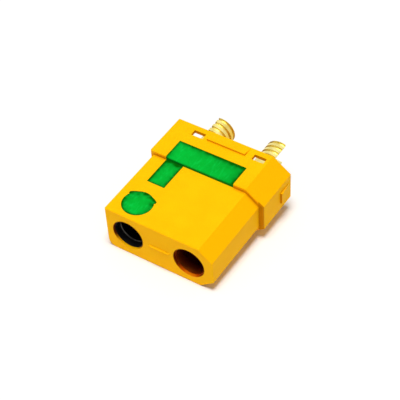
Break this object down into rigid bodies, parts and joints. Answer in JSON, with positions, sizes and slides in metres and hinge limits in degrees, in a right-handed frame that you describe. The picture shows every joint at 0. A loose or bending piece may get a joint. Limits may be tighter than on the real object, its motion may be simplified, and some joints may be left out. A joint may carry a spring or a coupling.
{
  "type": "anti-spark battery connector",
  "caption": "Keyed yellow two-pole battery connector, socket half, with a pre-charge ring and a green-potted resistor that stop the plug-in spark, and ribbed solder cups.",
  "frame": {"origin": "middle of the flat mating face, halfway between the two socket axes", "axes": "+Y along the sockets from the mating face to the solder cups, +X towards the chamfered key end and the plain socket, +Z out of the potted top face"},
  "size_m": [0.0211, 0.0269, 0.0102],
  "materials": {
    "housing": "moulded yellow nylon, satin to semi-gloss",
    "contact_gold": "turned brass, gold plated",
    "insulator": "moulded black nylon",
    "ring_metal": "spring brass, dark nickel plated",
    "resistor_body": "lacquered ceramic film resistor",
    "lead_wire": "tinned copper wire",
    "solder": "reflowed tin solder",
    "potting": "poured green epoxy, semi-gloss"
  },
  "bodies": {
    "root": {"housing": "housing", "plain_contact": "contact_gold", "spark_contact": "contact_gold", "front_insulator": "insulator", "rear_insulator": "insulator", "precharge_ring": "ring_metal", "resistor": "resistor_body", "front_lead": "lead_wire", "rear_lead": "lead_wire", "front_solder": "solder", "rear_solder": "solder", "well_potting": "potting", "channel_potting": "potting"}
  },
  "joints": []
}
